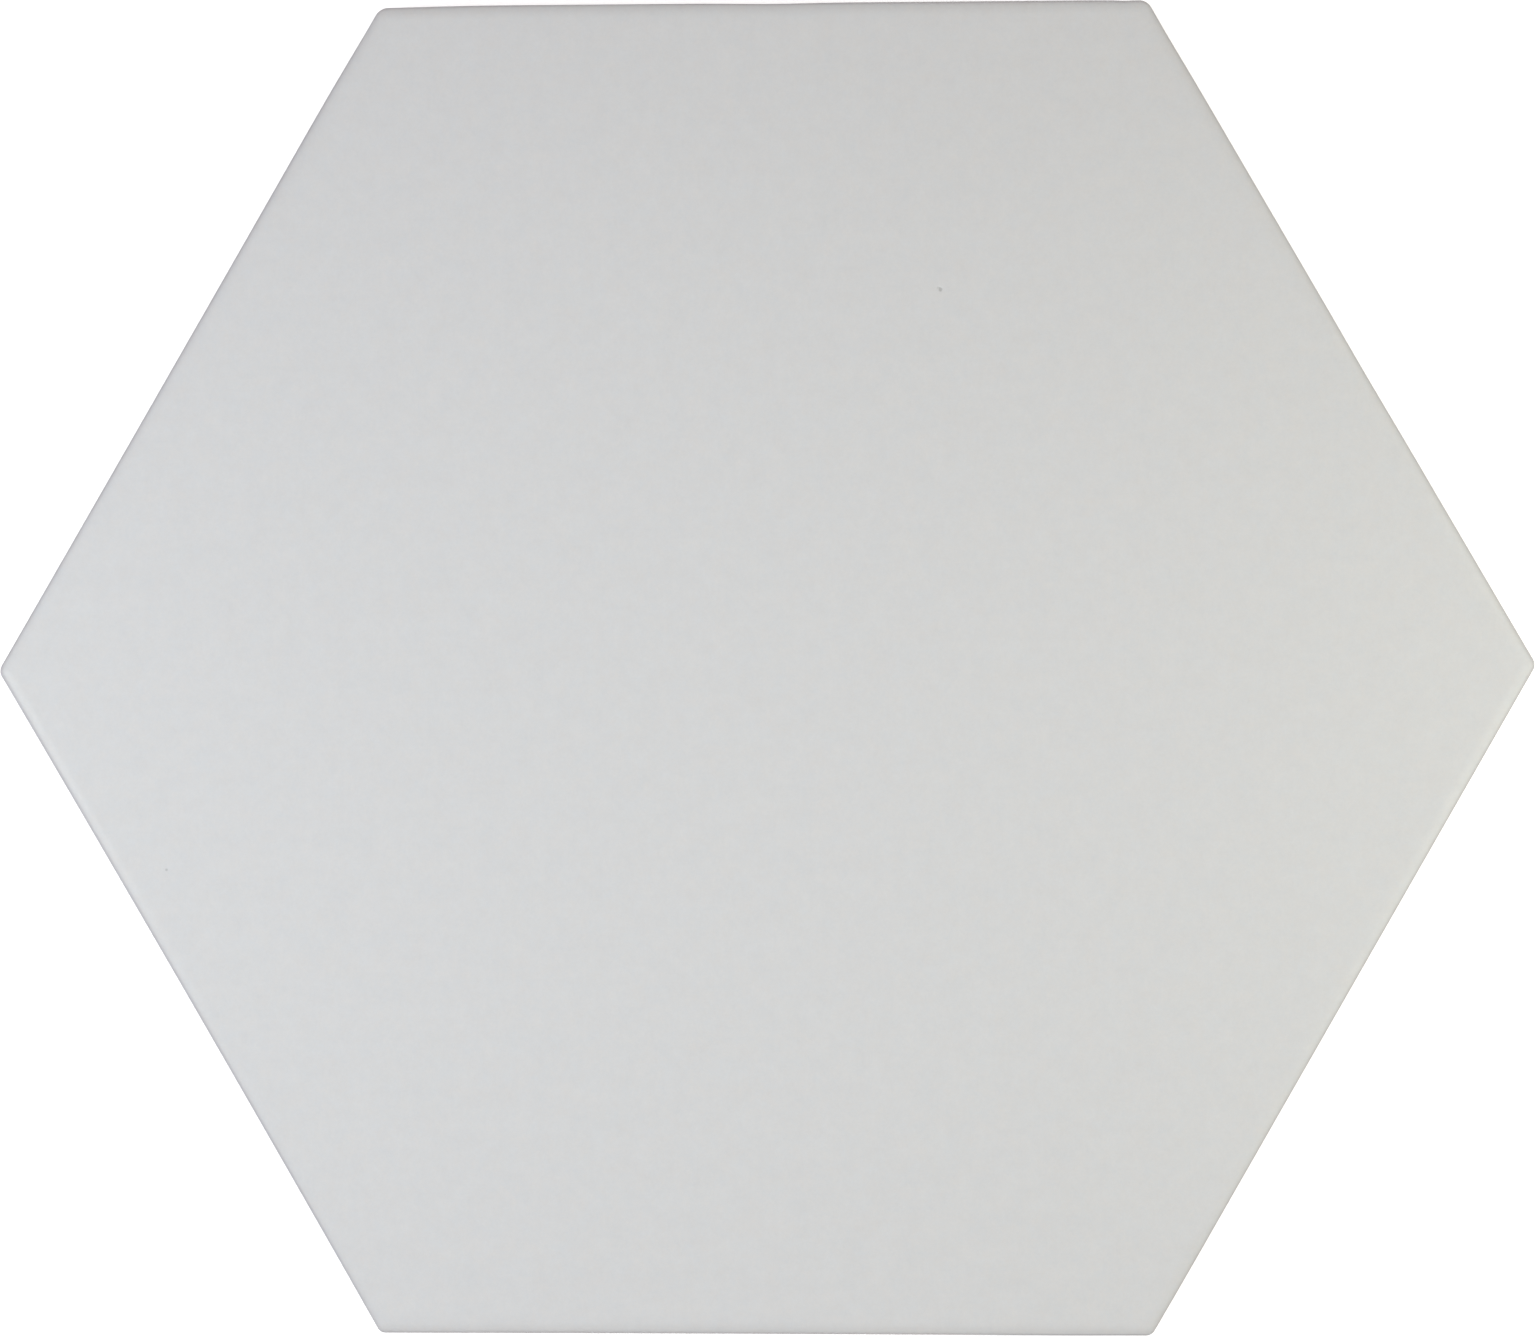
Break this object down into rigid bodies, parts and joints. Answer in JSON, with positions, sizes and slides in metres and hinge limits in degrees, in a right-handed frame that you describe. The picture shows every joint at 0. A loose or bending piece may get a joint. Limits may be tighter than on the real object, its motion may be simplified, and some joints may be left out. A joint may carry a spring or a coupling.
{
  "type": "hexagon floor tile",
  "caption": "Flat regular hexagonal porcelain floor tile with a matte pale-grey face, softly rolled arris, rounded corners, drafted side and a honeycomb key relief on the back.",
  "frame": {"origin": "middle of the back, on the plane of the rib crests that the tile lies on", "axes": "+X towards a corner, across the longest width; +Y towards the middle of a side; +Z out of the walked face"},
  "size_m": [0.267, 0.232, 0.009],
  "materials": {
    "porcelain": "matte pale-grey glaze on the face and over the arris, bare off-white biscuit on the side and back"
  },
  "bodies": {
    "root": {"hexagon_tile": "porcelain"}
  },
  "joints": []
}
